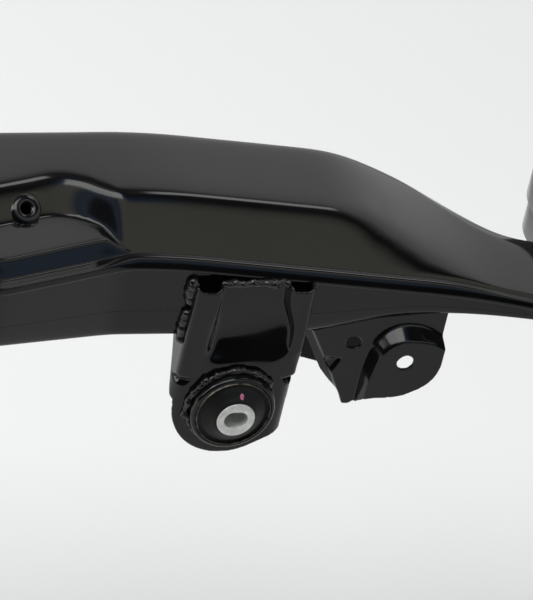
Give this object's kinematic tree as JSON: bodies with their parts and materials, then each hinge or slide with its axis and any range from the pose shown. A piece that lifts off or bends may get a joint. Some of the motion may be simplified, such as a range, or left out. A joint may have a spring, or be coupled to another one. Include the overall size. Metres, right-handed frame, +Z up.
{
  "type": "rear suspension subframe",
  "caption": "Welded sheet-metal suspension subframe: humped cross beam between two rails on rubber body mounts, with bush brackets and arm clevises hung below it.",
  "frame": {"origin": "middle of the part, on the plane of the bush brackets' lowest points", "axes": "+X along the cross beam, +Y towards the rear of the car, +Z up"},
  "size_m": [1.152, 0.342, 0.217],
  "materials": {
    "black_paint": "gloss black",
    "rubber": "matt black",
    "aluminium": "satin, as turned",
    "plated_steel": "zinc plated"
  },
  "bodies": {
    "root": {"upper_shell": "black_paint", "front_web": "black_paint", "rear_web": "black_paint", "lower_shell": "black_paint", "left_rail_upper": "black_paint", "left_rail_lower": "black_paint", "right_rail_upper": "black_paint", "right_rail_lower": "black_paint", "left_front_mount_housing": "black_paint", "left_front_mount_rubber": "rubber", "left_front_mount_sleeve": "plated_steel", "left_rear_mount_housing": "black_paint", "left_rear_mount_rubber": "rubber", "left_rear_mount_sleeve": "plated_steel", "right_front_mount_housing": "black_paint", "right_front_mount_rubber": "rubber", "right_front_mount_sleeve": "plated_steel", "right_rear_mount_housing": "black_paint", "right_rear_mount_rubber": "rubber", "right_rear_mount_sleeve": "plated_steel", "left_bracket_front": "black_paint", "left_bracket_rear": "black_paint", "left_bush_housing": "black_paint", "left_bush_can": "black_paint", "left_bush_rubber": "rubber", "left_bush_sleeve": "aluminium", "left_clevis_front": "black_paint", "left_clevis_rear": "black_paint", "left_clevis_nut": "black_paint", "right_bracket_front": "black_paint", "right_bracket_rear": "black_paint", "right_bush_housing": "black_paint", "right_bush_can": "black_paint", "right_bush_rubber": "rubber", "right_bush_sleeve": "aluminium", "right_clevis_front": "black_paint", "right_clevis_rear": "black_paint", "right_clevis_nut": "black_paint"}
  },
  "joints": []
}
